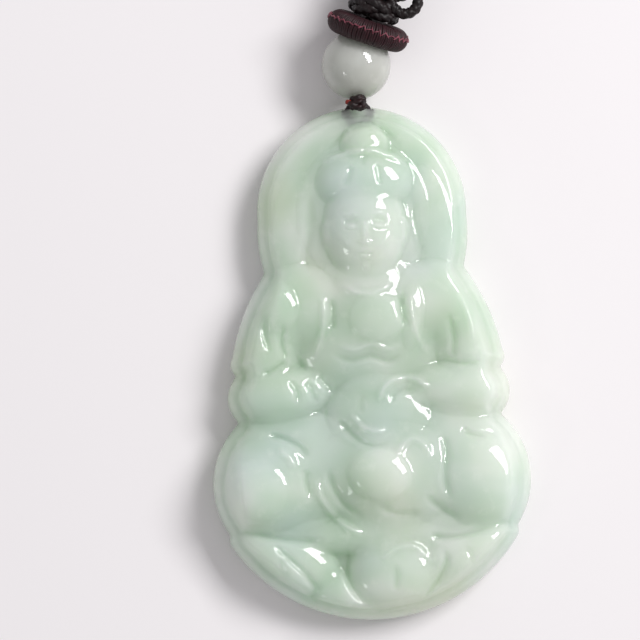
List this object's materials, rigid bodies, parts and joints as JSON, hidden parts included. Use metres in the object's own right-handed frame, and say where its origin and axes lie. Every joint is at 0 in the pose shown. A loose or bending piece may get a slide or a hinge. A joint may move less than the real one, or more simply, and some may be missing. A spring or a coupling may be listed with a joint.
{
  "type": "carved jade pendant on a knotted neck cord",
  "caption": "Flat-backed jade pendant carved as a seated robed figure on a lotus seat, hung by a thread from a round bead, a thread-wound ring and a knotted neck cord.",
  "frame": {"origin": "centre of the carving's flat back, which lies on the surface", "axes": "+Z out of the carved face, +Y towards the top of the carving, +X to a viewer's right"},
  "size_m": [0.0364, 0.1025, 0.0084],
  "materials": {
    "jade": "polished translucent pale green jade",
    "bead_stone": "polished translucent white jade",
    "thread": "twisted dark maroon nylon thread",
    "winding_thread": "dark maroon thread wound side by side",
    "stitch_thread": "pink-red stitching thread",
    "knot_cord": "braided dark maroon nylon cord",
    "neck_cord": "braided dark maroon nylon cord",
    "ring_plastic": "plain moulded ring"
  },
  "bodies": {
    "figure": {"carved_figure": "jade", "hanging_loop": "thread"},
    "cord": {"loop_knot": "thread", "bead_thread": "thread", "knot_collar": "knot_cord", "knot_crown": "knot_cord", "side_loop": "knot_cord", "neck_cord_left": "neck_cord", "neck_cord_right": "neck_cord", "neck_coil": "neck_cord", "coil_tie": "thread"},
    "bead": {"top_bead": "bead_stone"},
    "ring": {"ring_core": "ring_plastic", "ring_winding": "winding_thread", "ring_stitches": "stitch_thread"}
  },
  "joints": [
    {"name": "cord_swing", "type": "hinge", "parent": "figure", "child": "cord", "pos_m": [0, 0.02598, 0.0035], "axis": [0, 0, 1], "range_deg": [-20, 20]},
    {"name": "bead_spin", "type": "hinge", "parent": "cord", "child": "bead", "pos_m": [0, 0.02978, 0.0035], "axis": [0.1388, 0.9879, 0.0698], "continuous": true},
    {"name": "ring_spin", "type": "hinge", "parent": "cord", "child": "ring", "pos_m": [0.00129, 0.03314, 0.00416], "axis": [0.3525, 0.9182, 0.1806], "continuous": true}
  ]
}
